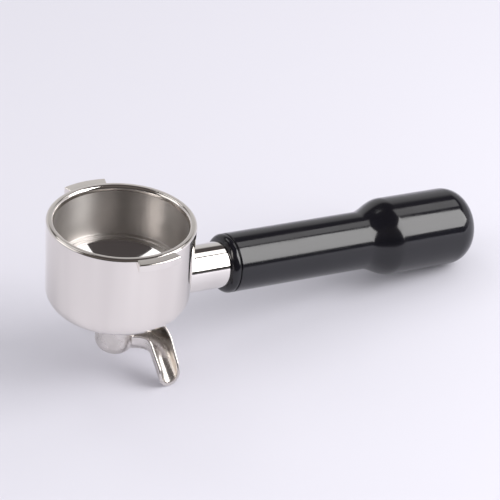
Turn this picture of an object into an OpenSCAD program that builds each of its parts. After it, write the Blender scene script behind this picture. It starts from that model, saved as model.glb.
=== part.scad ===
// Portafilter with a double spout, for a 58 mm filter basket.
// Origin: centre of the rim. +Z: up along the head's axis. +X: towards the handle.

/* [Head] */
// Outer diameter of the head at its rim
rim_d = 69; // [68:0.5:71]
// Height of the head, without its boss
head_h = 44.5; // [44:0.5:47]
// Diameter of the bore that takes the filter basket
basket_bore_d = 61.3; // [60.5:0.1:61.9]
// Depth of the well, from the rim to the flat ledge of its floor
well_depth = 25.5; // [23:0.5:26]
// Draft of the outer wall, in degrees
wall_draft = 1.7; // [0:0.1:2]
// Radius of the rounded edge around the bottom
bottom_round = 9; // [6:0.5:10]

/* [Lugs] */
// Overall size across the two bayonet lugs
lug_span = 77.2; // [75:0.1:79]
// Angle that each lug covers, in degrees
lug_angle = 32; // [26:1:40]
// Thickness of a lug
lug_t = 4; // [3:0.1:5]

/* [Handle] */
// Depth of the handle's axis below the rim, at the head's axis
handle_drop = 32.9; // [32:0.1:34]
// Slope of the handle below the plane of the rim, in degrees
handle_pitch = 4; // [3:0.5:5]
// Diameter of the polished neck
neck_d = 22.1; // [20:0.1:24]
// Distance along the handle's axis to the end of the neck
neck_end = 54; // [50:0.5:58]
// Diameter of the slim front of the grip
grip_d = 28.2; // [27:0.1:30]
// Diameter of the bulb at the rear of the grip
bulb_d = 37.9; // [36:0.1:40]
// Distance along the handle's axis to the start of the bulb's shoulder
shoulder_start = 132; // [120:1:135]
// Length of the curved shoulder
shoulder_len = 16; // [12:1:20]
// Distance along the handle's axis to the end of the bulb
handle_reach = 195.8; // [190:0.5:205]

/* [Spout] */
// Diameter of the hub below the head
hub_d = 18.4; // [18:0.1:20]
// Depth of the hub's lowest point below the head's underside
hub_drop = 25.5; // [24:0.5:27]
// Width of a gutter, over its walls
gutter_w = 10.8; // [10:0.1:12]
// Depth of the gutters' level rims below the head's underside
gutter_rim_drop = 15.3; // [14.5:0.1:15.8]
// Slope of a gutter at its tip, in degrees
gutter_slope = 40; // [35:1:45]
// Wall thickness of a gutter
gutter_wall = 1.3; // [1:0.1:1.6]

/* [Hidden] */
$fn = 96;
seat_gap = 0.05;

// Head
rim_r = rim_d / 2;
well_r = basket_bore_d / 2;
rim_land = 2.4;
rim_round = 1.3;
mouth_h = 2.6;
bottom_r = rim_r - head_h * tan(wall_draft);
ledge_w = 2;
ledge_step = 0.8;
dish_r = well_r - 2 * ledge_w;
dish_depth = 7;
drain_r = 5.5;

// Boss, nipple, gasket and hub, all on the head's axis
boss_r = 12;
boss_h = 2;
boss_z = -head_h - boss_h;
thread_r = 8.3;
thread_top_z = -head_h + 8.5;
gasket_t = 1.5;
gasket_z = boss_z - gasket_t;
swivel_gap = 0.2;
hub_top_z = gasket_z - swivel_gap;
collar_r = 11.2;
collar_end_z = hub_top_z - 4.5;
hub_r = hub_d / 2;
hub_neck_z = hub_top_z - 6.8;
socket_end_z = hub_top_z - 7.2;
hub_bottom_z = -head_h - hub_drop;
hub_end_round = 6.5;

// Gutters: the middle of the rims follows a curve that turns in plan, then falls
gutter_start = [5.2, -2.6, -head_h - gutter_rim_drop];
gutter_len = 32;
gutter_steps = 16;
heading_first = -10;
heading_last = -90;
turn_len = 19.5;
fall_start = 10.5;
fall_len = 8;
gutter_depth = 9;
gutter_arc_points = 8;
outer_rise = 4.5;
rise_end = 31;
rise_len = 16;
chamber_floor_z = gutter_start.z - gutter_depth + gutter_wall + 0.3;

// Handle, measured along its own axis from the head's axis
stub_r = 8;
stub_root = 30;
stub_end = 65;
bolt_r = 4;
bolt_tip = 42;
pin_r = 1.25;
pin_offset = 6;
pin_len = 10;
neck_r = neck_d / 2;
neck_root = 29.5;
collar_len = 4;
collar_front_round = 3.2;
seal_t = 0.5;
seal_r = 13.5;
grip_start = neck_end + collar_len + seal_t;
grip_r = grip_d / 2;
grip_front_round = 0.5;
bulb_r = bulb_d / 2;
bulb_end_round = 12;
end_dome_h = 0.8;
cap_r = 11.8;
cap_seam = 0.1;
cap_lip_t = 2.4;
plug_r = 8;
plug_len = 12;
washer_seat = 162;
washer_t = 1.6;
washer_r = 7.8;
spring_washer_t = 2;
spring_washer_r = 7.2;
bolt_head_r = 6.5;
bolt_head_h = 8;
hex_af = 6;
hex_depth = 4;

// Points of an arc about [cx, cy], from angle a0 to angle a1
function arc(cx, cy, r, a0, a1, n = 8) =
    [for (i = [0:n]) let (a = a0 + (a1 - a0) * i / n) [cx + r * cos(a), cy + r * sin(a)]];

// Half-section of the head's outside, from the rim's land down to the axis side
function head_outline() = concat(
    arc(rim_r - rim_round, -rim_round, rim_round, 90, 0, 6),
    arc(bottom_r - bottom_round, -head_h + bottom_round, bottom_round, 0, -90, 10)
);

// Solid shape of the head's outside, with no well in it
module head_outside() {
    rotate_extrude() polygon(concat([[0, 0]], head_outline(), [[0, -head_h]]));
}

// Well with a rounded mouth, a stepped ledge and a dished floor
module head_well() {
    mouth_r = rim_r - rim_land;
    bowl_r = (dish_r * dish_r + dish_depth * dish_depth) / (2 * dish_depth);
    dish_z = -well_depth - ledge_step;
    bowl_z = dish_z - dish_depth + bowl_r;
    rotate_extrude() polygon(concat(
        [[0, 1], [mouth_r, 1]],
        [for (a = [0:15:90])
            [mouth_r - (mouth_r - well_r) * sin(a), -mouth_h * (1 - cos(a))]],
        [
            [well_r, -well_depth],
            [well_r - ledge_w, -well_depth],
            [well_r - ledge_w, dish_z]
        ],
        arc(0, bowl_z, bowl_r, -90 + asin(dish_r / bowl_r), -90, 10)
    ));
}

// Bayonet lugs, square to the handle
module lugs() {
    for (side = [-90, 90])
        rotate([0, 0, side - lug_angle / 2])
            rotate_extrude(angle = lug_angle)
                translate([rim_r - 3, -0.3 - lug_t])
                    square([lug_span / 2 - rim_r + 3, lug_t]);
}

// Puts a shape drawn along +Z on the handle's axis
module on_handle() {
    translate([0, 0, -handle_drop]) rotate([0, 90 + handle_pitch, 0]) children();
}

// Hole along the handle's axis
module handle_hole(r, from, to) {
    on_handle() translate([0, 0, from]) cylinder(r = r, h = to - from);
}

// Dowel between the stub and the grip, below the bolt
module pin_shape(r) {
    on_handle() translate([pin_offset, 0, stub_end - pin_len / 2]) cylinder(r = r, h = pin_len, $fn = 32);
}

module head() {
    color("gainsboro") difference() {
        union() {
            head_outside();
            lugs();
            translate([0, 0, boss_z]) cylinder(r = boss_r, h = boss_h + 1);
            on_handle() translate([0, 0, stub_root]) cylinder(r = stub_r, h = stub_end - stub_root);
        }
        head_well();
        translate([0, 0, boss_z - 1]) cylinder(r = drain_r, h = head_h);
        translate([0, 0, boss_z - 1]) cylinder(r = thread_r + seat_gap, h = thread_top_z - boss_z + 1);
        handle_hole(bolt_r + seat_gap, bolt_tip - 5, stub_end + 1);
        pin_shape(pin_r + seat_gap);
    }
}

module spout_nipple() {
    nipple_end_z = socket_end_z + 0.3;
    color("goldenrod") translate([0, 0, nipple_end_z]) difference() {
        cylinder(r = thread_r, h = thread_top_z - nipple_end_z - 0.3);
        translate([0, 0, -1]) cylinder(r = drain_r, h = head_h);
    }
}

module spout_gasket() {
    color("whitesmoke") translate([0, 0, gasket_z]) difference() {
        cylinder(r = collar_r, h = gasket_t);
        translate([0, 0, -1]) cylinder(r = thread_r + seat_gap, h = gasket_t + 2);
    }
}

// Heading in plan and slope of a gutter, in degrees, at a distance along it
function heading(s) = heading_first + (heading_last - heading_first) * min(s / turn_len, 1);
function slope(s) = gutter_slope * min(max((s - fall_start) / fall_len, 0), 1);
function gutter_dir(s) = [
    cos(slope(s)) * cos(heading(s)),
    cos(slope(s)) * sin(heading(s)),
    -sin(slope(s))
];

// Middle of the rims after i of the gutter's steps
gutter_step = gutter_len / gutter_steps;
function gutter_point(i) = i == 0
    ? gutter_start
    : gutter_point(i - 1) + gutter_step * gutter_dir((i - 0.5) * gutter_step);

// Extra height of the outer wall at a distance along a gutter, falling to none before its tip
function rise(s) = outer_rise * min(max((rise_end - s) / rise_len, 0), 1);

// One line of the U-shaped section: down, round the bottom and up the outer wall
function u_line(half_w, depth, extra) = concat(
    [[half_w, 0]],
    arc(0, half_w - depth, half_w, 0, -180, gutter_arc_points),
    [[-half_w, extra]]
);

// The whole section, as the outer line followed by the inner line taken backwards
function u_section(extra) = let (
    inner = u_line(gutter_w / 2 - gutter_wall, gutter_depth - gutter_wall, extra)
) concat(
    u_line(gutter_w / 2, gutter_depth, extra),
    [for (i = [len(inner) - 1:-1:0]) inner[i]]
);

// The section's points in space, upright and square to the gutter's heading
function gutter_ring(i) = let (
    p = gutter_point(i),
    s = i * gutter_step,
    a = heading(s)
) [for (q = u_section(rise(s))) p + [q.x * sin(a), -q.x * cos(a), q.y]];

// Gutter on the -Y side, up to the plane that it shares with its twin
module gutter() {
    rings = [for (i = [0:gutter_steps]) gutter_ring(i)];
    n = len(rings[0]);
    sides = [
        for (i = [0:gutter_steps - 1], j = [0:n - 1])
            let (a = i * n + j, b = i * n + (j + 1) % n)
                each [[a, a + n, b], [b, a + n, b + n]]
    ];
    first_end = [
        for (k = [0:n / 2 - 2])
            let (a = k, b = k + 1, c = n - 2 - k, d = n - 1 - k)
                each [[a, b, c], [a, c, d]]
    ];
    last_end = [for (f = first_end) [for (k = [2:-1:0]) f[k] + gutter_steps * n]];
    intersection() {
        polyhedron(
            points = [for (ring = rings) each ring],
            faces = concat(sides, first_end, last_end)
        );
        translate([-50, -100, -150]) cube([100, 100, 150]);
    }
}

// Outline of the hub: wide at its threaded top, slim below, with a rounded end
function hub_outline() = concat(
    [
        [0, hub_top_z],
        [collar_r, hub_top_z],
        [collar_r, collar_end_z],
        [hub_r, hub_neck_z]
    ],
    arc(hub_r - hub_end_round, hub_bottom_z + hub_end_round, hub_end_round, 0, -90),
    [[0, hub_bottom_z]]
);

module spout() {
    window_w = gutter_w + 1.6;
    window_h = gutter_start.z + 0.5 - chamber_floor_z;
    color("gainsboro") union() {
        difference() {
            rotate_extrude() polygon(hub_outline());
            translate([0, 0, socket_end_z]) cylinder(r = thread_r + seat_gap, h = head_h);
            translate([0, 0, chamber_floor_z]) cylinder(r = drain_r, h = head_h);
            translate([0, -window_w / 2, chamber_floor_z])
                cube([hub_d, window_w, window_h]);
        }
        gutter();
        mirror([0, 1, 0]) gutter();
    }
}

// Neck tube, cut to follow the head's wall
module neck_sleeve() {
    color("gainsboro") difference() {
        on_handle() rotate_extrude() polygon(concat(
            [[stub_r + seat_gap, neck_root], [neck_r, neck_root]],
            arc(neck_r - 0.4, neck_end - 0.4, 0.4, 0, 90, 3),
            [[stub_r + seat_gap, neck_end]]
        ));
        head_outside();
    }
}

module front_collar() {
    front_round_r = grip_r - collar_front_round;
    back_round_r = grip_r - grip_front_round;
    color([0.04, 0.04, 0.05]) on_handle() rotate_extrude() polygon(concat(
        [[stub_r + seat_gap, neck_end]],
        arc(front_round_r, neck_end + collar_front_round, collar_front_round, -90, 0),
        arc(back_round_r, neck_end + collar_len - grip_front_round, grip_front_round, 0, 90, 4),
        [[stub_r + seat_gap, neck_end + collar_len]]
    ));
}

module neck_seal() {
    color("dimgray") on_handle() translate([0, 0, neck_end + collar_len]) difference() {
        cylinder(r = seal_r, h = seal_t);
        translate([0, 0, -1]) cylinder(r = stub_r + seat_gap, h = seal_t + 2);
    }
}

// Shoulder between the slim front and the bulb: half a wave
function shoulder() = [
    for (i = [0:12]) [
        grip_r + (bulb_r - grip_r) * (1 - cos(180 * i / 12)) / 2,
        shoulder_start + shoulder_len * i / 12
    ]
];

// Angle round the bulb's end at which the cap's edge lies
function seam_angle(r) = acos((r - bulb_r + bulb_end_round) / bulb_end_round);
end_round_z = handle_reach - end_dome_h - bulb_end_round;

module grip() {
    seam = seam_angle(cap_r + cap_seam);
    cap_seat = handle_reach - end_dome_h - cap_lip_t - 0.4;
    color([0.04, 0.04, 0.05]) difference() {
        on_handle() rotate_extrude() polygon(concat(
            [[bolt_r + 0.3, grip_start]],
            arc(grip_r - grip_front_round, grip_start + grip_front_round, grip_front_round, -90, 0, 5),
            shoulder(),
            arc(bulb_r - bulb_end_round, end_round_z, bulb_end_round, 0, seam, 8),
            [
                [cap_r + cap_seam, cap_seat],
                [plug_r + seat_gap, cap_seat],
                [plug_r + seat_gap, washer_seat],
                [bolt_r + 0.3, washer_seat]
            ]
        ));
        handle_hole(stub_r + 2 * seat_gap, grip_start - 1, stub_end + 0.5);
        pin_shape(pin_r + seat_gap);
    }
}

module locating_pin() {
    color("silver") pin_shape(pin_r);
}

module handle_bolt() {
    head_seat = washer_seat + washer_t + spring_washer_t;
    color("silver") on_handle() difference() {
        union() {
            translate([0, 0, bolt_tip]) cylinder(r = bolt_r, h = head_seat - bolt_tip + 1);
            translate([0, 0, head_seat]) cylinder(r = bolt_head_r, h = bolt_head_h);
        }
        translate([0, 0, head_seat + bolt_head_h - hex_depth])
            cylinder(d = hex_af / cos(30), h = hex_depth + 1, $fn = 6);
    }
}

module bolt_washer() {
    color("silver") on_handle() translate([0, 0, washer_seat]) difference() {
        cylinder(r = washer_r, h = washer_t);
        translate([0, 0, -1]) cylinder(r = bolt_r + 0.2, h = washer_t + 2);
    }
}

// Split washer, with a narrow cut through one side
module spring_washer() {
    color("silver") on_handle() translate([0, 0, washer_seat + washer_t]) difference() {
        cylinder(r = spring_washer_r, h = spring_washer_t);
        translate([0, 0, -1]) cylinder(r = bolt_r + 0.1, h = spring_washer_t + 2);
        translate([0, -0.5, -1]) cube([spring_washer_r + 1, 1, spring_washer_t + 2]);
    }
}

// Domed cap on a hollow plug
module end_cap() {
    lip_z = handle_reach - end_dome_h - cap_lip_t;
    seam = seam_angle(cap_r);
    color([0.04, 0.04, 0.05]) on_handle() rotate_extrude() polygon(concat(
        [
            [0, lip_z],
            [plug_r - 2, lip_z],
            [plug_r - 2, lip_z - plug_len],
            [plug_r, lip_z - plug_len],
            [plug_r, lip_z],
            [cap_r, lip_z]
        ],
        arc(bulb_r - bulb_end_round, end_round_z, bulb_end_round, seam, 90, 3),
        [for (i = [1:5]) let (r = (bulb_r - bulb_end_round) * (1 - i / 5))
            [r, handle_reach - end_dome_h * pow(r / (bulb_r - bulb_end_round), 2)]]
    ));
}

head();
spout_nipple();
spout_gasket();
spout();
neck_sleeve();
front_collar();
neck_seal();
grip();
locating_pin();
handle_bolt();
bolt_washer();
spring_washer();
end_cap();
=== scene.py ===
"""Looks for a portafilter with a double spout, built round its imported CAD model.

Outlines and sizes are in millimetres; a mesh is turned into metres when its piece is made.
"""

import math

import bmesh
import bpy
from mathutils import Matrix, Vector


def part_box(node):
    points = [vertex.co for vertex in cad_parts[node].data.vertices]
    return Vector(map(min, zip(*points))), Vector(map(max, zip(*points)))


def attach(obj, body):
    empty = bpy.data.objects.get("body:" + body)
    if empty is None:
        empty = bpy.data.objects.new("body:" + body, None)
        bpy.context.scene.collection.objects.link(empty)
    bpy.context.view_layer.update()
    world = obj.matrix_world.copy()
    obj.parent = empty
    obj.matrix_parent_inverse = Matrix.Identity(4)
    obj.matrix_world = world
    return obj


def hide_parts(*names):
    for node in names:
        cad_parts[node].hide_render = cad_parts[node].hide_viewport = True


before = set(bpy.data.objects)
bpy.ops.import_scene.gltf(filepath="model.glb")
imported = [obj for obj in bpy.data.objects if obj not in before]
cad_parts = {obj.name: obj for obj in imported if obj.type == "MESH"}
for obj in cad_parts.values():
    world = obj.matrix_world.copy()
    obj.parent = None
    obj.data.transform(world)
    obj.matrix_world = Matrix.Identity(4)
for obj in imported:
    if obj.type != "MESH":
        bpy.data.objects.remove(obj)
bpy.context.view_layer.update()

MM = 0.001


def box_mm(node):
    """Lowest and highest corner of a CAD node, in millimetres."""
    low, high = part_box(node)
    return low / MM, high / MM


head_low, head_high = box_mm("head")
spout_low, spout_high = box_mm("spout")
grip_low, grip_high = box_mm("grip")

# Head: a cup that hangs from its rim at z = 0, on the z axis
RIM_R = -head_low.x
LUG_R = head_high.y
HEAD_H = 44.5
WELL_R = 30.65
WELL_DEPTH = 25.5
WALL_DRAFT = math.radians(1.7)
BOTTOM_R = RIM_R - HEAD_H * math.tan(WALL_DRAFT)
BOTTOM_ROUND = 9
RIM_LAND = 2.4
RIM_ROUND = 1.3
MOUTH_R = RIM_R - RIM_LAND
MOUTH_H = 2.6
LEDGE_W = 2
LEDGE_STEP = 0.8
DISH_R = WELL_R - 2 * LEDGE_W
DISH_DEPTH = 7
DRAIN_R = 5.5
BOSS_R = 12
BOSS_Z = head_low.z
THREAD_R = 8.35
THREAD_TOP_Z = -36
LUG_TOP_Z = -0.3
LUG_T = 4
LUG_ANGLE = math.radians(32)
LUG_ROOT_R = RIM_R - 2
LUG_SOFTNESS = 0.85

# Spout: a hub on the z axis with two gutters
HUB_R = 9.2
HUB_TOP_Z = spout_high.z
HUB_COLLAR_R = 11.2
HUB_COLLAR_H = 4.5
HUB_NECK_Z = HUB_TOP_Z - 6.8
HUB_BOTTOM_Z = -70
HUB_END_ROUND = 6.5
SOCKET_DEPTH = 7.2
CHAMBER_FLOOR_Z = -67.2
GUTTER_START = Vector((5.2, -2.6, -59.8))
GUTTER_LEN = 32
GUTTER_STEPS = 48
GUTTER_W = 10.8
GUTTER_DEPTH = 9
GUTTER_WALL = 1.3
TIP_ROUND = 3.2
OUTER_RISE = 4.5
RISE_END = 31
RISE_LEN = 16
HEADING_FIRST = math.radians(-10)
HEADING_LAST = math.radians(-90)
TURN_LEN = 19.5
SLOPE_LAST = math.radians(40)
FALL_START = 10.5
FALL_LEN = 8
SHARED_CUT = 0.1
CUT_REACH = 60
WINDOW_W = GUTTER_W + 1.6
WINDOW_TOP = 0.5
TIP_REACH = 11.4
CAST_GRAIN = 0.3

# Handle: lengths run along its own axis, from the head's axis
HANDLE_DROP = 32.9
HANDLE_PITCH = math.radians(4)
STUB_R = 8
STUB_ROOT = 31
STUB_END = 65
STUB_BORE_END = STUB_END + 1
SLEEVE_BORE_R = STUB_R + 0.1
NECK_R = 11.05
NECK_ROOT = 29.5
NECK_END = 54
COLLAR_LEN = 4
COLLAR_FRONT_ROUND = 3.2
SEAL_R = 13.5
SEAL_T = 0.5
GRIP_START = NECK_END + COLLAR_LEN + SEAL_T
GRIP_R = 14.1
BULB_R = 18.95
SHOULDER_START = 132
SHOULDER_LEN = 16
BULB_END_ROUND = 12
HANDLE_REACH = 195.8
END_DOME_H = 0.8
CAP_R = 11.8
CAP_SEAM = 0.1
CAP_LIP_T = 2.4
PLUG_R = 8
PLUG_LEN = 12
PLUG_WALL = 2
PLUG_BORE_R = PLUG_R + 0.05
CAP_GAP = 0.4
BOLT_HOLE_R = 4.3
WASHER_SEAT = 162
EDGE = 0.5

# Faces round a turned piece, and the angle over which an edge counts as sharp
SEGMENTS = 224
SHARP_OVER = math.radians(40)

# Studio: colours, the mirrored room by sine of the elevation, camera and lamps
FLOOR_R = 6000
FLOOR_GAP = 0.05
FLOOR_LIGHT = (0.665, 0.655, 0.72)
FLOOR_DARK = (0.645, 0.637, 0.70)
TENT_LIGHT = (0.72, 0.715, 0.72)
BACKDROP = (0.76, 0.76, 0.82)
FRONT_ROOM = [
    (0.0, (0.12, 0.115, 0.12)),
    (0.2, (0.05, 0.047, 0.045)),
    (0.75, (0.14, 0.125, 0.115)),
    (0.92, (0.07, 0.06, 0.06)),
]
BACK_ROOM = [
    (0.0, (0.72, 0.71, 0.75)),
    (0.5, (0.62, 0.61, 0.61)),
    (0.6, (0.08, 0.07, 0.07)),
]
CAMERA_AZIMUTH = -33.1
CAMERA_ELEVATION = 31.4
CAMERA_DISTANCE = 1.15
CAMERA_LENS = 174.9
CAMERA_AIM = Vector((70.5, 0, -32.8)) * MM
STAGE_CENTRE = Vector((60, 0, -40)) * MM
LAMP_COLOUR = (1, 0.99, 0.985)

# Name, azimuth, elevation, distance in metres, width, height, power
SOFTBOXES = [
    ("right_softbox", 47.3, 37, 1.2, 0.86, 0.92, 14.8),
    ("left_softbox", -112, 26, 1.2, 0.8, 0.7, 2),
    ("right_window", 101, 53, 1.3, 0.45, 0.45, 1.0),
    ("back_window", 193, 53, 1.3, 0.45, 0.45, 1.0),
]

ON_HANDLE = Matrix.Translation((0, 0, -HANDLE_DROP)) @ Matrix.Rotation(math.pi / 2 + HANDLE_PITCH, 4, "Y")


# ---------------------------------------------------------------- outlines


def arc(cx, cy, r, start, end, steps=8):
    """Points on an arc about (cx, cy), between two angles in degrees."""
    angles = [math.radians(start + (end - start) * i / steps) for i in range(steps + 1)]
    return [(cx + r * math.cos(a), cy + r * math.sin(a)) for a in angles]


def rounded(corners, steps=6):
    """The line through corners (x, y, radius), each turned into an arc that touches both of its sides."""
    points = [corners[0][:2]]
    for before, here, after in zip(corners, corners[1:], corners[2:]):
        corner = Vector(here[:2])
        radius = here[2]
        if not radius:
            points.append(here[:2])
            continue
        back = (Vector(before[:2]) - corner).normalized()
        ahead = (Vector(after[:2]) - corner).normalized()
        half = back.angle(ahead) / 2
        centre = corner + (back + ahead).normalized() * radius / math.sin(half)
        first = corner + back * radius / math.tan(half) - centre
        last = corner + ahead * radius / math.tan(half) - centre
        turn = math.pi - 2 * half
        for i in range(steps + 1):
            share = i / steps
            spoke = first * math.sin((1 - share) * turn) + last * math.sin(share * turn)
            points.append(tuple(centre + spoke / math.sin(turn)))
    points.append(corners[-1][:2])
    return points


# ---------------------------------------------------------------- mesh tools


def link_mesh(name, bm, materials, place=Matrix()):
    """A new smooth-shaded object from a bmesh drawn in millimetres."""
    bmesh.ops.recalc_face_normals(bm, faces=bm.faces)
    mesh = bpy.data.meshes.new(name)
    bm.to_mesh(mesh)
    bm.free()
    mesh.transform(Matrix.Scale(MM, 4) @ place)
    for material in materials:
        mesh.materials.append(material)
    obj = bpy.data.objects.new(name, mesh)
    bpy.context.scene.collection.objects.link(obj)
    return obj


def shade(obj):
    """Smooth shading that keeps sharp edges, with normals led by the larger faces."""
    obj.data.polygons.foreach_set("use_smooth", [True] * len(obj.data.polygons))
    obj.data.set_sharp_from_angle(angle=SHARP_OVER)
    normals = obj.modifiers.new("normals", "WEIGHTED_NORMAL")
    normals.keep_sharp = True


def settle(obj):
    """Makes what an object's modifiers give into its own mesh."""
    evaluated = obj.evaluated_get(bpy.context.evaluated_depsgraph_get())
    mesh = bpy.data.meshes.new_from_object(evaluated)
    obj.modifiers.clear()
    obj.data = mesh
    return obj


def combine(obj, other, operation):
    """Joins another object to obj, or cuts it away, and removes the other."""
    boolean = obj.modifiers.new("boolean", "BOOLEAN")
    boolean.object = other
    boolean.operation = operation
    boolean.solver = "EXACT"
    settle(obj)
    bpy.data.objects.remove(other)
    return obj


def ring(bm, r, z):
    """One turn of vertices, or a single one on the axis."""
    if r < 1e-6:
        return [bm.verts.new((0, 0, z))]
    angles = [2 * math.pi * i / SEGMENTS for i in range(SEGMENTS)]
    return [bm.verts.new((r * math.cos(a), r * math.sin(a), z)) for a in angles]


def lathe(name, stretches, place=Matrix()):
    """An object turned about +Z from stretches of outline.

    A stretch is a list of (radius, height) points and its material. The outline is closed where its last
    point is also its first.
    """
    bm = bmesh.new()
    points = []
    slots = []
    for slot, (outline, _) in enumerate(stretches):
        for point in outline:
            if not points or (Vector(point) - Vector(points[-1])).length > 1e-4:
                points.append(point)
                slots.append(slot)
    closed = (Vector(points[0]) - Vector(points[-1])).length < 1e-4
    rings = [ring(bm, r, z) for r, z in (points[:-1] if closed else points)]
    if closed:
        rings.append(rings[0])
    for low, high, slot in zip(rings, rings[1:], slots[1:]):
        if len(low) == len(high) == 1:
            continue
        for i in range(SEGMENTS):
            j = (i + 1) % SEGMENTS
            corners = [low[i % len(low)], low[j % len(low)], high[j % len(high)], high[i % len(high)]]
            face = bm.faces.new(list(dict.fromkeys(corners)))
            face.material_index = slot
    return link_mesh(name, bm, [material for _, material in stretches], place)


def sweep(bm, sections):
    """A closed tube through matching sections of points, capped at both ends."""
    rings = [[bm.verts.new(point) for point in section] for section in sections]
    count = len(rings[0])
    for near, far in zip(rings, rings[1:]):
        for i in range(count):
            j = (i + 1) % count
            bm.faces.new((near[i], near[j], far[j], far[i]))
    bm.faces.new(rings[0])
    bm.faces.new(rings[-1])


def block(name, low, high):
    """A plain box, for cutting only."""
    bm = bmesh.new()
    bmesh.ops.create_cube(bm, size=1)
    centre = (Vector(low) + Vector(high)) / 2
    size = Vector(high) - Vector(low)
    for vertex in bm.verts:
        vertex.co = centre + Vector(a * b for a, b in zip(vertex.co, size))
    return link_mesh(name, bm, [])


# ---------------------------------------------------------------- materials


def add(tree, kind, **inputs):
    """A new shader node. Each named input gets a value, or a link where the value is a socket."""
    node = tree.nodes.new("ShaderNode" + kind)
    for name, value in inputs.items():
        socket = node.inputs[name.replace("_", " ")]
        if isinstance(value, bpy.types.NodeSocket):
            tree.links.new(value, socket)
        else:
            socket.default_value = value
    return node


def calculate(tree, operation, *values):
    """The result of a math node."""
    node = tree.nodes.new("ShaderNodeMath")
    node.operation = operation
    for socket, value in zip(node.inputs, values):
        if isinstance(value, bpy.types.NodeSocket):
            tree.links.new(value, socket)
        else:
            socket.default_value = value
    return node.outputs[0]


def mix_colours(tree, share, first, second):
    """The colour that lies a share of the way from the first to the second, each plain or a socket."""
    node = tree.nodes.new("ShaderNodeMix")
    node.data_type = "RGBA"
    tree.links.new(share, node.inputs[0])
    for socket, colour in ((node.inputs[6], first), (node.inputs[7], second)):
        if isinstance(colour, bpy.types.NodeSocket):
            tree.links.new(colour, socket)
        else:
            socket.default_value = (*colour, 1)
    return node.outputs[2]


def noise(tree, per_metre, detail=3.0, stretch=(1, 1, 1)):
    """Noise from 0 to 1 in the part's own space, with its features stretched where stretch is small."""
    place = add(tree, "TexCoord").outputs["Object"]
    scaled = add(tree, "Mapping", Vector=place, Scale=stretch).outputs[0]
    return add(tree, "TexNoise", Vector=scaled, Scale=per_metre, Detail=detail).outputs[0]


def remap(tree, value, low, high, start=0.3, end=0.7):
    """A value that runs from low to high while the given one runs from start to end."""
    names = {"Value": value, "From_Min": start, "From_Max": end, "To_Min": low, "To_Max": high}
    return add(tree, "MapRange", **names).outputs[0]


def bump(tree, heights):
    """Normal from several (height, strength, depth in millimetres) layers, one over another."""
    normal = None
    for height, strength, depth in heights:
        node = add(tree, "Bump", Height=height, Strength=strength, Distance=depth * MM)
        if normal:
            tree.links.new(normal, node.inputs["Normal"])
        normal = node.outputs[0]
    return normal


def new_material(name, settings):
    """A material, its node tree and its shader, with constant values set on the shader's sockets."""
    material = bpy.data.materials.new(name)
    material.use_nodes = True
    shader = material.node_tree.nodes["Principled BSDF"]
    for socket, value in settings.items():
        shader.inputs[socket].default_value = value
    return material, material.node_tree, shader


def dress(tree, shader, colour, roughness, normal):
    """Links what varies over the surface to the shader."""
    tree.links.new(colour, shader.inputs["Base Color"])
    tree.links.new(roughness, shader.inputs["Roughness"])
    tree.links.new(normal, shader.inputs["Normal"])


def polished_metal(name, light, dark, rough_low, rough_high, ripple):
    """Buffed metal: a faint ripple left by the wheel, hairline scratches, smudges of roughness, and
    vertical light and dark bands of painted reflection in its colour.
    """
    material, tree, shader = new_material(name, {"Metallic": 1.0})
    smudges = noise(tree, 55, 5)
    hairlines = noise(tree, 900, 4, (1, 1, 0.06))
    waves = noise(tree, 120, 1)
    # Vertical light and dark bands painted into the metal's colour: a painted reflection of the floor's
    # light and shade.
    painted_reflection_bands = noise(tree, 60, 2, (1, 1, 0.08))
    colour = mix_colours(tree, remap(tree, painted_reflection_bands, 0, 1), light, dark)
    worn = calculate(tree, "ADD", smudges, calculate(tree, "MULTIPLY", hairlines, 0.35))
    roughness = remap(tree, worn, rough_low, rough_high, 0.45, 0.95)
    normal = bump(tree, [(waves, ripple, 0.05), (hairlines, 0.06, 0.01)])
    dress(tree, shader, colour, roughness, normal)
    return material


def turned_metal(name, light, dark, rough_low, rough_high, lines_per_mm, depth):
    """Metal cut on a lathe: fine rings about the z axis, on walls and floors alike."""
    material, tree, shader = new_material(name, {
        "Metallic": 1.0,
        "Anisotropic": 0.85,
        "Anisotropic Rotation": 0.25,
    })
    tangent = tree.nodes.new("ShaderNodeTangent")
    tangent.direction_type = "RADIAL"
    tangent.axis = "Z"
    tree.links.new(tangent.outputs[0], shader.inputs["Tangent"])
    place = add(tree, "TexCoord").outputs["Object"]
    xyz = add(tree, "SeparateXYZ", Vector=place).outputs
    x_squared = calculate(tree, "MULTIPLY", xyz[0], xyz[0])
    y_squared = calculate(tree, "MULTIPLY", xyz[1], xyz[1])
    radius = calculate(tree, "SQRT", calculate(tree, "ADD", x_squared, y_squared))
    along = calculate(tree, "ADD", radius, xyz[2])
    rings = tree.nodes.new("ShaderNodeTexNoise")
    rings.noise_dimensions = "1D"
    rings.inputs["Scale"].default_value = lines_per_mm / MM
    rings.inputs["Detail"].default_value = 3
    tree.links.new(along, rings.inputs["W"])
    smudges = noise(tree, 70, 4)
    colour = mix_colours(tree, remap(tree, smudges, 0, 1), light, dark)
    mixed = calculate(tree, "ADD", calculate(tree, "MULTIPLY", rings.outputs[0], 0.5), smudges)
    roughness = remap(tree, mixed, rough_low, rough_high, 0.5, 1.0)
    normal = bump(tree, [(rings.outputs[0], 0.5, depth)])
    dress(tree, shader, colour, roughness, normal)
    return material


def cast_metal(name, light, dark):
    """Cast, then tumbled and plated: soft dents, fine grain and duller patches."""
    material, tree, shader = new_material(name, {"Metallic": 1.0})
    dents = noise(tree, 230, 3)
    grain = noise(tree, 2600, 2)
    patches = noise(tree, 110, 4)
    colour = mix_colours(tree, remap(tree, patches, 0, 1), light, dark)
    roughness = remap(tree, patches, 0.18, 0.34)
    normal = bump(tree, [(dents, 0.3, 0.1), (grain, 0.1, 0.02)])
    dress(tree, shader, colour, roughness, normal)
    return material


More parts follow.
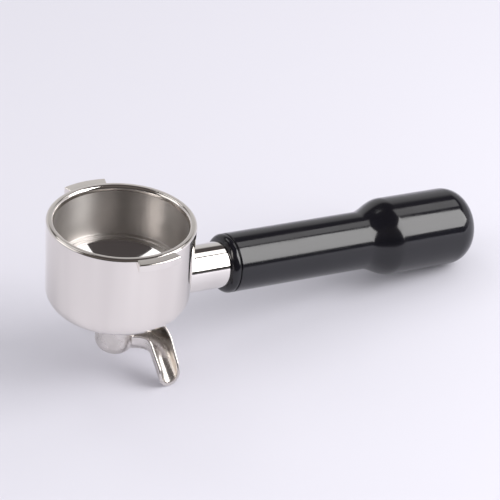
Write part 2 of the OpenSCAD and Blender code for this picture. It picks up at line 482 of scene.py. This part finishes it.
def moulded_plastic(name, light, dark):
    """Glossy moulded plastic: a faint orange peel, hairline scratches and a handled, uneven gloss."""
    settings = {"IOR": 1.5, "Coat Weight": 0.12, "Coat Roughness": 0.09}
    material, tree, shader = new_material(name, settings)
    peel = noise(tree, 420, 2)
    scratches = noise(tree, 700, 5, (0.05, 1, 1))
    handled = noise(tree, 45, 5)
    colour = mix_colours(tree, remap(tree, handled, 0, 1), light, dark)
    worn = calculate(tree, "ADD", handled, calculate(tree, "MULTIPLY", scratches, 0.4))
    roughness = remap(tree, worn, 0.1, 0.22, 0.5, 0.95)
    normal = bump(tree, [(peel, 0.12, 0.03), (scratches, 0.05, 0.01)])
    dress(tree, shader, colour, roughness, normal)
    return material


def rubber(name, light, dark):
    """Moulded rubber: a matt, finely pitted surface."""
    material, tree, shader = new_material(name, {"IOR": 1.45})
    pits = noise(tree, 3000, 3)
    bloom = noise(tree, 160, 4)
    colour = mix_colours(tree, remap(tree, bloom, 0, 1), light, dark)
    roughness = remap(tree, bloom, 0.55, 0.8)
    dress(tree, shader, colour, roughness, bump(tree, [(pits, 0.3, 0.03)]))
    return material


def studio_floor(name):
    """Seamless paper: a pale, even sheet with a fine tooth."""
    material, tree, shader = new_material(name, {"Specular IOR Level": 0.2})
    tooth = noise(tree, 1500, 3)
    cloud = noise(tree, 4, 2)
    colour = mix_colours(tree, cloud, FLOOR_LIGHT, FLOOR_DARK)
    roughness = remap(tree, cloud, 0.75, 0.9)
    dress(tree, shader, colour, roughness, bump(tree, [(tooth, 0.1, 0.05)]))
    return material


chrome = polished_metal("polished_steel", (0.88, 0.84, 0.80), (0.77, 0.73, 0.70), 0.04, 0.10, 0.05)
neck_chrome = polished_metal("polished_neck", (0.86, 0.83, 0.80), (0.80, 0.77, 0.74), 0.03, 0.08, 0.05)
satin = turned_metal("turned_steel", (0.69, 0.66, 0.64), (0.60, 0.575, 0.555), 0.36, 0.46, 6, 0.004)
bright_turned = turned_metal("turned_dish", (0.80, 0.785, 0.775), (0.74, 0.72, 0.71), 0.05, 0.1, 2, 0.003)
casting = cast_metal("polished_casting", (0.78, 0.745, 0.72), (0.64, 0.61, 0.58))
brass = turned_metal("brass", (0.72, 0.53, 0.26), (0.62, 0.44, 0.2), 0.2, 0.35, 3, 0.02)
plain_steel = polished_metal("plain_steel", (0.55, 0.55, 0.56), (0.42, 0.41, 0.4), 0.25, 0.45, 0.2)
black_plastic = moulded_plastic("black_plastic", (0.006, 0.006, 0.009), (0.003, 0.003, 0.005))
seal_rubber = rubber("rubber_seal", (0.03, 0.03, 0.032), (0.015, 0.015, 0.016))
gasket_rubber = rubber("gasket", (0.75, 0.74, 0.72), (0.65, 0.64, 0.61))


# ---------------------------------------------------------------- head


# Corners of the head's outside, from the mouth's edge to the bottom
CUP_CORNERS = [
    (MOUTH_R, 0, 0),
    (RIM_R, 0, RIM_ROUND),
    (BOTTOM_R, -HEAD_H, BOTTOM_ROUND),
]
CUP_STEPS = 16


def head_outside_outline():
    """Half-section of the head's outside, from the mouth's edge round to the boss's hole."""
    return rounded(CUP_CORNERS + [
        (BOSS_R, -HEAD_H, 0.8),
        (BOSS_R, BOSS_Z, 0.3),
        (THREAD_R, BOSS_Z, 0.2),
        (THREAD_R, THREAD_TOP_Z, 0),
    ], CUP_STEPS)


def dish_outline():
    """The bowl of the floor, from its edge down to the drain."""
    bowl_r = (DISH_R ** 2 + DISH_DEPTH ** 2) / (2 * DISH_DEPTH)
    bowl_z = -WELL_DEPTH - LEDGE_STEP - DISH_DEPTH + bowl_r
    edge = math.degrees(math.asin(DISH_R / bowl_r))
    drain = math.degrees(math.asin(DRAIN_R / bowl_r))
    return arc(0, bowl_z, bowl_r, -90 + edge, -90 + drain, 24)


def well_outline():
    """The well's ledges and its wall, from the dish up to the mouth."""
    return rounded([
        (DISH_R, -WELL_DEPTH - LEDGE_STEP, 0),
        (DISH_R + LEDGE_W, -WELL_DEPTH - LEDGE_STEP, 0.25),
        (DISH_R + LEDGE_W, -WELL_DEPTH, 0.25),
        (WELL_R, -WELL_DEPTH, 0.4),
        (WELL_R, -MOUTH_H, 0),
    ], 5)


def mouth_outline():
    """The mouth's flare, a quarter of an ellipse from the wall up to the rim."""
    steps = 15
    angles = [math.pi / 2 * (1 - i / steps) for i in range(steps + 1)]
    return [(
        MOUTH_R - (MOUTH_R - WELL_R) * math.sin(a),
        -MOUTH_H * (1 - math.cos(a)),
    ) for a in angles]


def make_head():
    """The turned cup, without its lugs and handle stub."""
    dish = dish_outline()
    drain = [(THREAD_R, THREAD_TOP_Z), (DRAIN_R, THREAD_TOP_Z), dish[-1]]
    return lathe("head_cup", [
        (dish[::-1], bright_turned),
        (well_outline(), satin),
        (mouth_outline(), chrome),
        (head_outside_outline(), chrome),
        (drain, satin),
    ])


def make_lug(name, middle):
    """One bayonet lug: a bar bent round the rim, with softened edges."""
    bm = bmesh.new()
    bottom = LUG_TOP_Z - LUG_T
    section = [
        (LUG_ROOT_R, bottom),
        (LUG_R, bottom),
        (LUG_R, LUG_TOP_Z),
        (LUG_ROOT_R, LUG_TOP_Z),
    ]
    steps = 32
    angles = [middle + LUG_ANGLE * (i / steps - 0.5) for i in range(steps + 1)]
    sweep(bm, [[(r * math.cos(a), r * math.sin(a), z) for r, z in section] for a in angles])
    lug = link_mesh(name, bm, [chrome])
    bevel = lug.modifiers.new("softened", "BEVEL")
    bevel.width = LUG_SOFTNESS * MM
    bevel.segments = 5
    bevel.limit_method = "ANGLE"
    bevel.angle_limit = SHARP_OVER
    return settle(lug)


def make_stub():
    """The solid bar inside the handle, rooted in the head's wall."""
    return lathe("head_stub", [(rounded([
        (0, STUB_ROOT, 0),
        (STUB_R, STUB_ROOT, 0),
        (STUB_R, STUB_END, 0.6),
        (0, STUB_END, 0),
    ]), plain_steel)], ON_HANDLE)


# ---------------------------------------------------------------- spout


def heading(s):
    """Direction in plan, at a distance along a gutter."""
    return HEADING_FIRST + (HEADING_LAST - HEADING_FIRST) * min(s / TURN_LEN, 1)


def slope(s):
    """Fall of a gutter, at a distance along it."""
    return SLOPE_LAST * min(max((s - FALL_START) / FALL_LEN, 0), 1)


def outer_rise(s):
    """Extra height of a gutter's outer wall, at a distance along it: full near the hub, none at the tip."""
    return OUTER_RISE * min(max((RISE_END - s) / RISE_LEN, 0), 1)


def gutter_section(rim_drop, rise):
    """U-shaped section as (across, up) points: outside, outer wall's rim, inside, inner wall's rim."""
    half = GUTTER_W / 2
    lip = GUTTER_WALL / 2
    bend_z = half - GUTTER_DEPTH
    rim_z = -lip - rim_drop
    return (
        [(half, rim_z)]
        + arc(0, bend_z, half, 0, -180, 24)
        + arc(lip - half, rim_z + rise, lip, 180, 0, 8)
        + arc(0, bend_z, half - GUTTER_WALL, -180, 0, 24)
        + arc(half - lip, rim_z, lip, 180, 0, 8)[:-1]
    )


def gutter_rings():
    """The section's places along a gutter, with the rims rounding down to the tip."""
    step = GUTTER_LEN / GUTTER_STEPS
    point = GUTTER_START.copy()
    rings = []
    for i in range(GUTTER_STEPS + 1):
        s = i * step
        over = max(s - (GUTTER_LEN - TIP_ROUND), 0) / TIP_ROUND
        rim_drop = TIP_ROUND * (1 - math.sqrt(max(1 - over * over, 0)))
        side = Vector((math.sin(heading(s)), -math.cos(heading(s)), 0))
        section = gutter_section(rim_drop, outer_rise(s))
        rings.append([point + side * x + Vector((0, 0, z)) for x, z in section])
        middle = s + step / 2
        flat = math.cos(slope(middle))
        point = point + step * Vector((
            flat * math.cos(heading(middle)),
            flat * math.sin(heading(middle)),
            -math.sin(slope(middle)),
        ))
    return rings


def make_gutter(name, side):
    """One gutter, cut a hair past the plane that it shares with its twin."""
    bm = bmesh.new()
    sweep(bm, [[Vector((p.x, p.y * -side, p.z)) for p in section] for section in gutter_rings()])
    gutter = link_mesh(name, bm, [])
    near, far = sorted((side * -SHARED_CUT, side * CUT_REACH))
    keep = block("keep", (-CUT_REACH, near, 2 * spout_low.z), (CUT_REACH, far, 0))
    return combine(gutter, keep, "INTERSECT")


def make_spout():
    """Hub and gutters, melted into one casting with soft corners."""
    socket_end = HUB_TOP_Z - SOCKET_DEPTH
    hub = lathe("spout_casting", [(rounded([
        (THREAD_R, HUB_TOP_Z - 1, 0),
        (THREAD_R, HUB_TOP_Z, 0.3),
        (HUB_COLLAR_R, HUB_TOP_Z, 0.4),
        (HUB_COLLAR_R, HUB_TOP_Z - HUB_COLLAR_H, 0.8),
        (HUB_R, HUB_NECK_Z, 1.5),
        (HUB_R, HUB_BOTTOM_Z, HUB_END_ROUND),
        (0, HUB_BOTTOM_Z, 0),
    ], 12) + [
        (0, HUB_BOTTOM_Z),
        (0, CHAMBER_FLOOR_Z),
        (DRAIN_R, CHAMBER_FLOOR_Z),
        (DRAIN_R, socket_end),
        (THREAD_R, socket_end),
        (THREAD_R, HUB_TOP_Z - 1),
    ], casting)])
    window = block(
        "window",
        (0, -WINDOW_W / 2, CHAMBER_FLOOR_Z),
        (2 * HUB_R, WINDOW_W / 2, GUTTER_START.z + WINDOW_TOP),
    )
    spout = combine(hub, window, "DIFFERENCE")
    for side in (1, -1):
        combine(spout, make_gutter("gutter", side), "UNION")
    melt = spout.modifiers.new("melt", "REMESH")
    melt.mode = "VOXEL"
    melt.voxel_size = CAST_GRAIN * MM
    soften = spout.modifiers.new("soften", "SMOOTH")
    soften.factor = 0.5
    soften.iterations = 8
    settle(spout)
    spout.data.materials.clear()
    spout.data.materials.append(casting)
    return spout


# ---------------------------------------------------------------- handle


def make_neck():
    """Polished tube, cut to follow the head's wall."""
    neck = lathe("neck_tube", [(rounded([
        (SLEEVE_BORE_R, NECK_ROOT, 0),
        (NECK_R, NECK_ROOT, 0),
        (NECK_R, NECK_END, 0.4),
        (SLEEVE_BORE_R, NECK_END, 0),
        (SLEEVE_BORE_R, NECK_ROOT, 0),
    ]), neck_chrome)], ON_HANDLE)
    cup = rounded(CUP_CORNERS + [(0, -HEAD_H, 0)], CUP_STEPS)
    solid_head = lathe("solid_head", [([(0, 0)] + cup, chrome)])
    return combine(neck, solid_head, "DIFFERENCE")


def make_collar():
    """Front ring of the grip, with a full round at its front."""
    return lathe("grip_front_ring", [(rounded([
        (SLEEVE_BORE_R, NECK_END + 1, 0),
        (SLEEVE_BORE_R, NECK_END, 0.2),
        (GRIP_R, NECK_END, COLLAR_FRONT_ROUND),
        (GRIP_R, NECK_END + COLLAR_LEN, EDGE),
        (SLEEVE_BORE_R, NECK_END + COLLAR_LEN, 0),
        (SLEEVE_BORE_R, NECK_END + 1, 0),
    ], 12), black_plastic)], ON_HANDLE)


def make_seal():
    """Thin rubber ring between the front ring and the grip."""
    return lathe("seal_ring", [(rounded([
        (SLEEVE_BORE_R, GRIP_START, 0),
        (SLEEVE_BORE_R, GRIP_START - SEAL_T, 0),
        (SEAL_R, GRIP_START - SEAL_T, 0.15),
        (SEAL_R, GRIP_START, 0.15),
        (SLEEVE_BORE_R, GRIP_START, 0),
    ]), seal_rubber)], ON_HANDLE)


def shoulder():
    """Half a wave from the slim front of the grip up to its bulb."""
    steps = 28
    return [(
        GRIP_R + (BULB_R - GRIP_R) * (1 - math.cos(math.pi * i / steps)) / 2,
        SHOULDER_START + SHOULDER_LEN * i / steps,
    ) for i in range(steps + 1)]


def seam_angle(r):
    """Angle round the bulb's end at which a radius is reached, in degrees."""
    return math.degrees(math.acos((r - BULB_R + BULB_END_ROUND) / BULB_END_ROUND))


END_ROUND_Z = HANDLE_REACH - END_DOME_H - BULB_END_ROUND
CAP_BASE = HANDLE_REACH - END_DOME_H - CAP_LIP_T


def make_grip():
    """The long moulding: slim front, shoulder, bulb, and the hollow for the bolt."""
    seam = seam_angle(CAP_R + CAP_SEAM)
    front = rounded([
        (BOLT_HOLE_R, STUB_BORE_END, 0),
        (SLEEVE_BORE_R, STUB_BORE_END, 0),
        (SLEEVE_BORE_R, GRIP_START, 0.2),
        (GRIP_R, GRIP_START, EDGE),
        (GRIP_R, GRIP_START + 4, 0),
    ])
    back = [
        (CAP_R + CAP_SEAM, CAP_BASE - CAP_GAP),
        (PLUG_BORE_R, CAP_BASE - CAP_GAP),
        (PLUG_BORE_R, WASHER_SEAT),
        (BOLT_HOLE_R, WASHER_SEAT),
        (BOLT_HOLE_R, STUB_BORE_END),
    ]
    bulb_end = arc(BULB_R - BULB_END_ROUND, END_ROUND_Z, BULB_END_ROUND, 0, seam, 24)
    return lathe("grip_moulding", [(front + shoulder() + bulb_end + back, black_plastic)], ON_HANDLE)


def make_cap():
    """Domed end cap on its hollow plug."""
    flat_r = BULB_R - BULB_END_ROUND
    inside = PLUG_R - PLUG_WALL
    steps = 16
    dome = [(
        flat_r * (1 - i / steps),
        HANDLE_REACH - END_DOME_H * (1 - i / steps) ** 2,
    ) for i in range(1, steps + 1)]
    rim = arc(flat_r, END_ROUND_Z, BULB_END_ROUND, seam_angle(CAP_R), 90, 12)
    under = [
        (0, CAP_BASE),
        (inside, CAP_BASE),
        (inside, CAP_BASE - PLUG_LEN),
        (PLUG_R, CAP_BASE - PLUG_LEN),
        (PLUG_R, CAP_BASE),
        (CAP_R, CAP_BASE),
    ]
    return lathe("grip_end_cap", [(under + rim + dome, black_plastic)], ON_HANDLE)


# ---------------------------------------------------------------- the object

PIECES = [
    (make_head(), "holder", "head", "polished_steel"),
    (make_lug("head_lug_left", math.pi / 2), "holder", "head", "polished_steel"),
    (make_lug("head_lug_right", -math.pi / 2), "holder", "head", "polished_steel"),
    (make_stub(), "holder", "head", "polished_steel"),
    (make_spout(), "spout", "spout", "polished_casting"),
    (make_neck(), "holder", "neck_sleeve", "polished_neck"),
    (make_collar(), "holder", "front_collar", "black_plastic"),
    (make_seal(), "holder", "neck_seal", "rubber_seal"),
    (make_grip(), "holder", "grip", "black_plastic"),
    (make_cap(), "holder", "end_cap", "black_plastic"),
]
for piece, body, node, slot in PIECES:
    shade(piece)
    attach(piece, body)
    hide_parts(node)

KEPT_NODES = {
    "spout_nipple": brass,
    "spout_gasket": gasket_rubber,
    "locating_pin": plain_steel,
    "handle_bolt": plain_steel,
    "bolt_washer": plain_steel,
    "spring_washer": plain_steel,
}
for node, material in KEPT_NODES.items():
    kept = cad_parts[node]
    kept.data.materials.clear()
    kept.data.materials.append(material)


# ---------------------------------------------------------------- studio

# The part rests on the spout's tips and on the bulb, so the floor slopes a little in the part's frame
tips = Vector((GUTTER_START.x + TIP_REACH, 0, spout_low.z))
bulb_low = Vector((grip_high.x - BULB_END_ROUND, 0, grip_low.z))
floor_rise = math.atan2(bulb_low.z - tips.z, bulb_low.x - tips.x)
floor_turn = Matrix.Rotation(-floor_rise, 4, "Y")
floor_up = floor_turn @ Vector((0, 0, 1))


def make_floor():
    """A wide disc that touches the spout's tips and the bulb."""
    bm = bmesh.new()
    bmesh.ops.create_circle(bm, cap_ends=True, radius=FLOOR_R, segments=96)
    place = Matrix.Translation(tips - FLOOR_GAP * floor_up) @ floor_turn
    link_mesh("floor", bm, [studio_floor("floor_paper")], place)


def direction(azimuth, elevation):
    """Unit vector towards a place seen from the part: azimuth 0 is towards -Y and 90 towards +X."""
    a = math.radians(azimuth)
    e = math.radians(elevation)
    return Vector((math.sin(a) * math.cos(e), -math.cos(a) * math.cos(e), math.sin(e)))


def look(obj, target, up):
    """Turns a camera or light to face a target, with its own top towards up."""
    back = (obj.location - target).normalized()
    right = up.cross(back).normalized()
    obj.rotation_mode = "QUATERNION"
    obj.rotation_quaternion = Matrix((right, back.cross(right), back)).transposed().to_quaternion()


def softbox(name, azimuth, elevation, distance, width, height, power):
    """A rectangular light that faces the part."""
    light = bpy.data.lights.new(name, "AREA")
    light.shape = "RECTANGLE"
    light.size = width
    light.size_y = height
    light.energy = power
    light.color = LAMP_COLOUR
    lamp = bpy.data.objects.new(name, light)
    bpy.context.scene.collection.objects.link(lamp)
    lamp.location = STAGE_CENTRE + direction(azimuth, elevation) * distance
    look(lamp, STAGE_CENTRE, floor_up)
    lamp.visible_camera = False


def world_ramp(tree, height, stops):
    """Colour of the room by height: stops are (sine of the elevation, colour)."""
    node = tree.nodes.new("ShaderNodeValToRGB")
    tree.links.new(height, node.inputs[0])
    elements = node.color_ramp.elements
    for _ in stops[2:]:
        elements.new(0.5)
    for element, (place, colour) in zip(elements, stops):
        element.position = place
        element.color = (*colour, 1)
    return node.outputs[0]


def make_world():
    """A light tent: even light on everything, with a room of its own for the polished metal to mirror.

    That room is dark in front, with paper that sweeps up behind. The camera itself sees the backdrop.
    """
    world = bpy.data.worlds.new("studio")
    bpy.context.scene.world = world
    world.use_nodes = True
    tree = world.node_tree
    sight = add(tree, "TexCoord").outputs["Generated"]
    height = add(tree, "SeparateXYZ", Vector=sight).outputs[2]
    toward = tree.nodes.new("ShaderNodeVectorMath")
    toward.operation = "DOT_PRODUCT"
    tree.links.new(sight, toward.inputs[0])
    toward.inputs[1].default_value = direction(180 + CAMERA_AZIMUTH, 0)
    backward = remap(tree, toward.outputs["Value"], 0, 1, -0.3, 0.3)
    front = world_ramp(tree, height, FRONT_ROOM)
    behind = world_ramp(tree, height, BACK_ROOM)
    room = mix_colours(tree, backward, front, behind)
    ray = add(tree, "LightPath").outputs
    lit = mix_colours(tree, ray["Is Glossy Ray"], TENT_LIGHT, room)
    shown = mix_colours(tree, ray["Is Camera Ray"], lit, BACKDROP)
    tree.links.new(shown, tree.nodes["Background"].inputs[0])


def make_camera():
    """Long lens from the front left, level with the floor."""
    camera = bpy.data.cameras.new("camera")
    camera.lens = CAMERA_LENS
    camera.sensor_width = 36
    camera.clip_start = 0.05
    camera.clip_end = 50
    eye = bpy.data.objects.new("camera", camera)
    bpy.context.scene.collection.objects.link(eye)
    eye.location = CAMERA_AIM + direction(CAMERA_AZIMUTH, CAMERA_ELEVATION) * CAMERA_DISTANCE
    look(eye, CAMERA_AIM, floor_up)
    bpy.context.scene.camera = eye


make_floor()
make_world()
make_camera()
for box in SOFTBOXES:
    softbox(*box)
bpy.context.scene.view_settings.view_transform = "Standard"
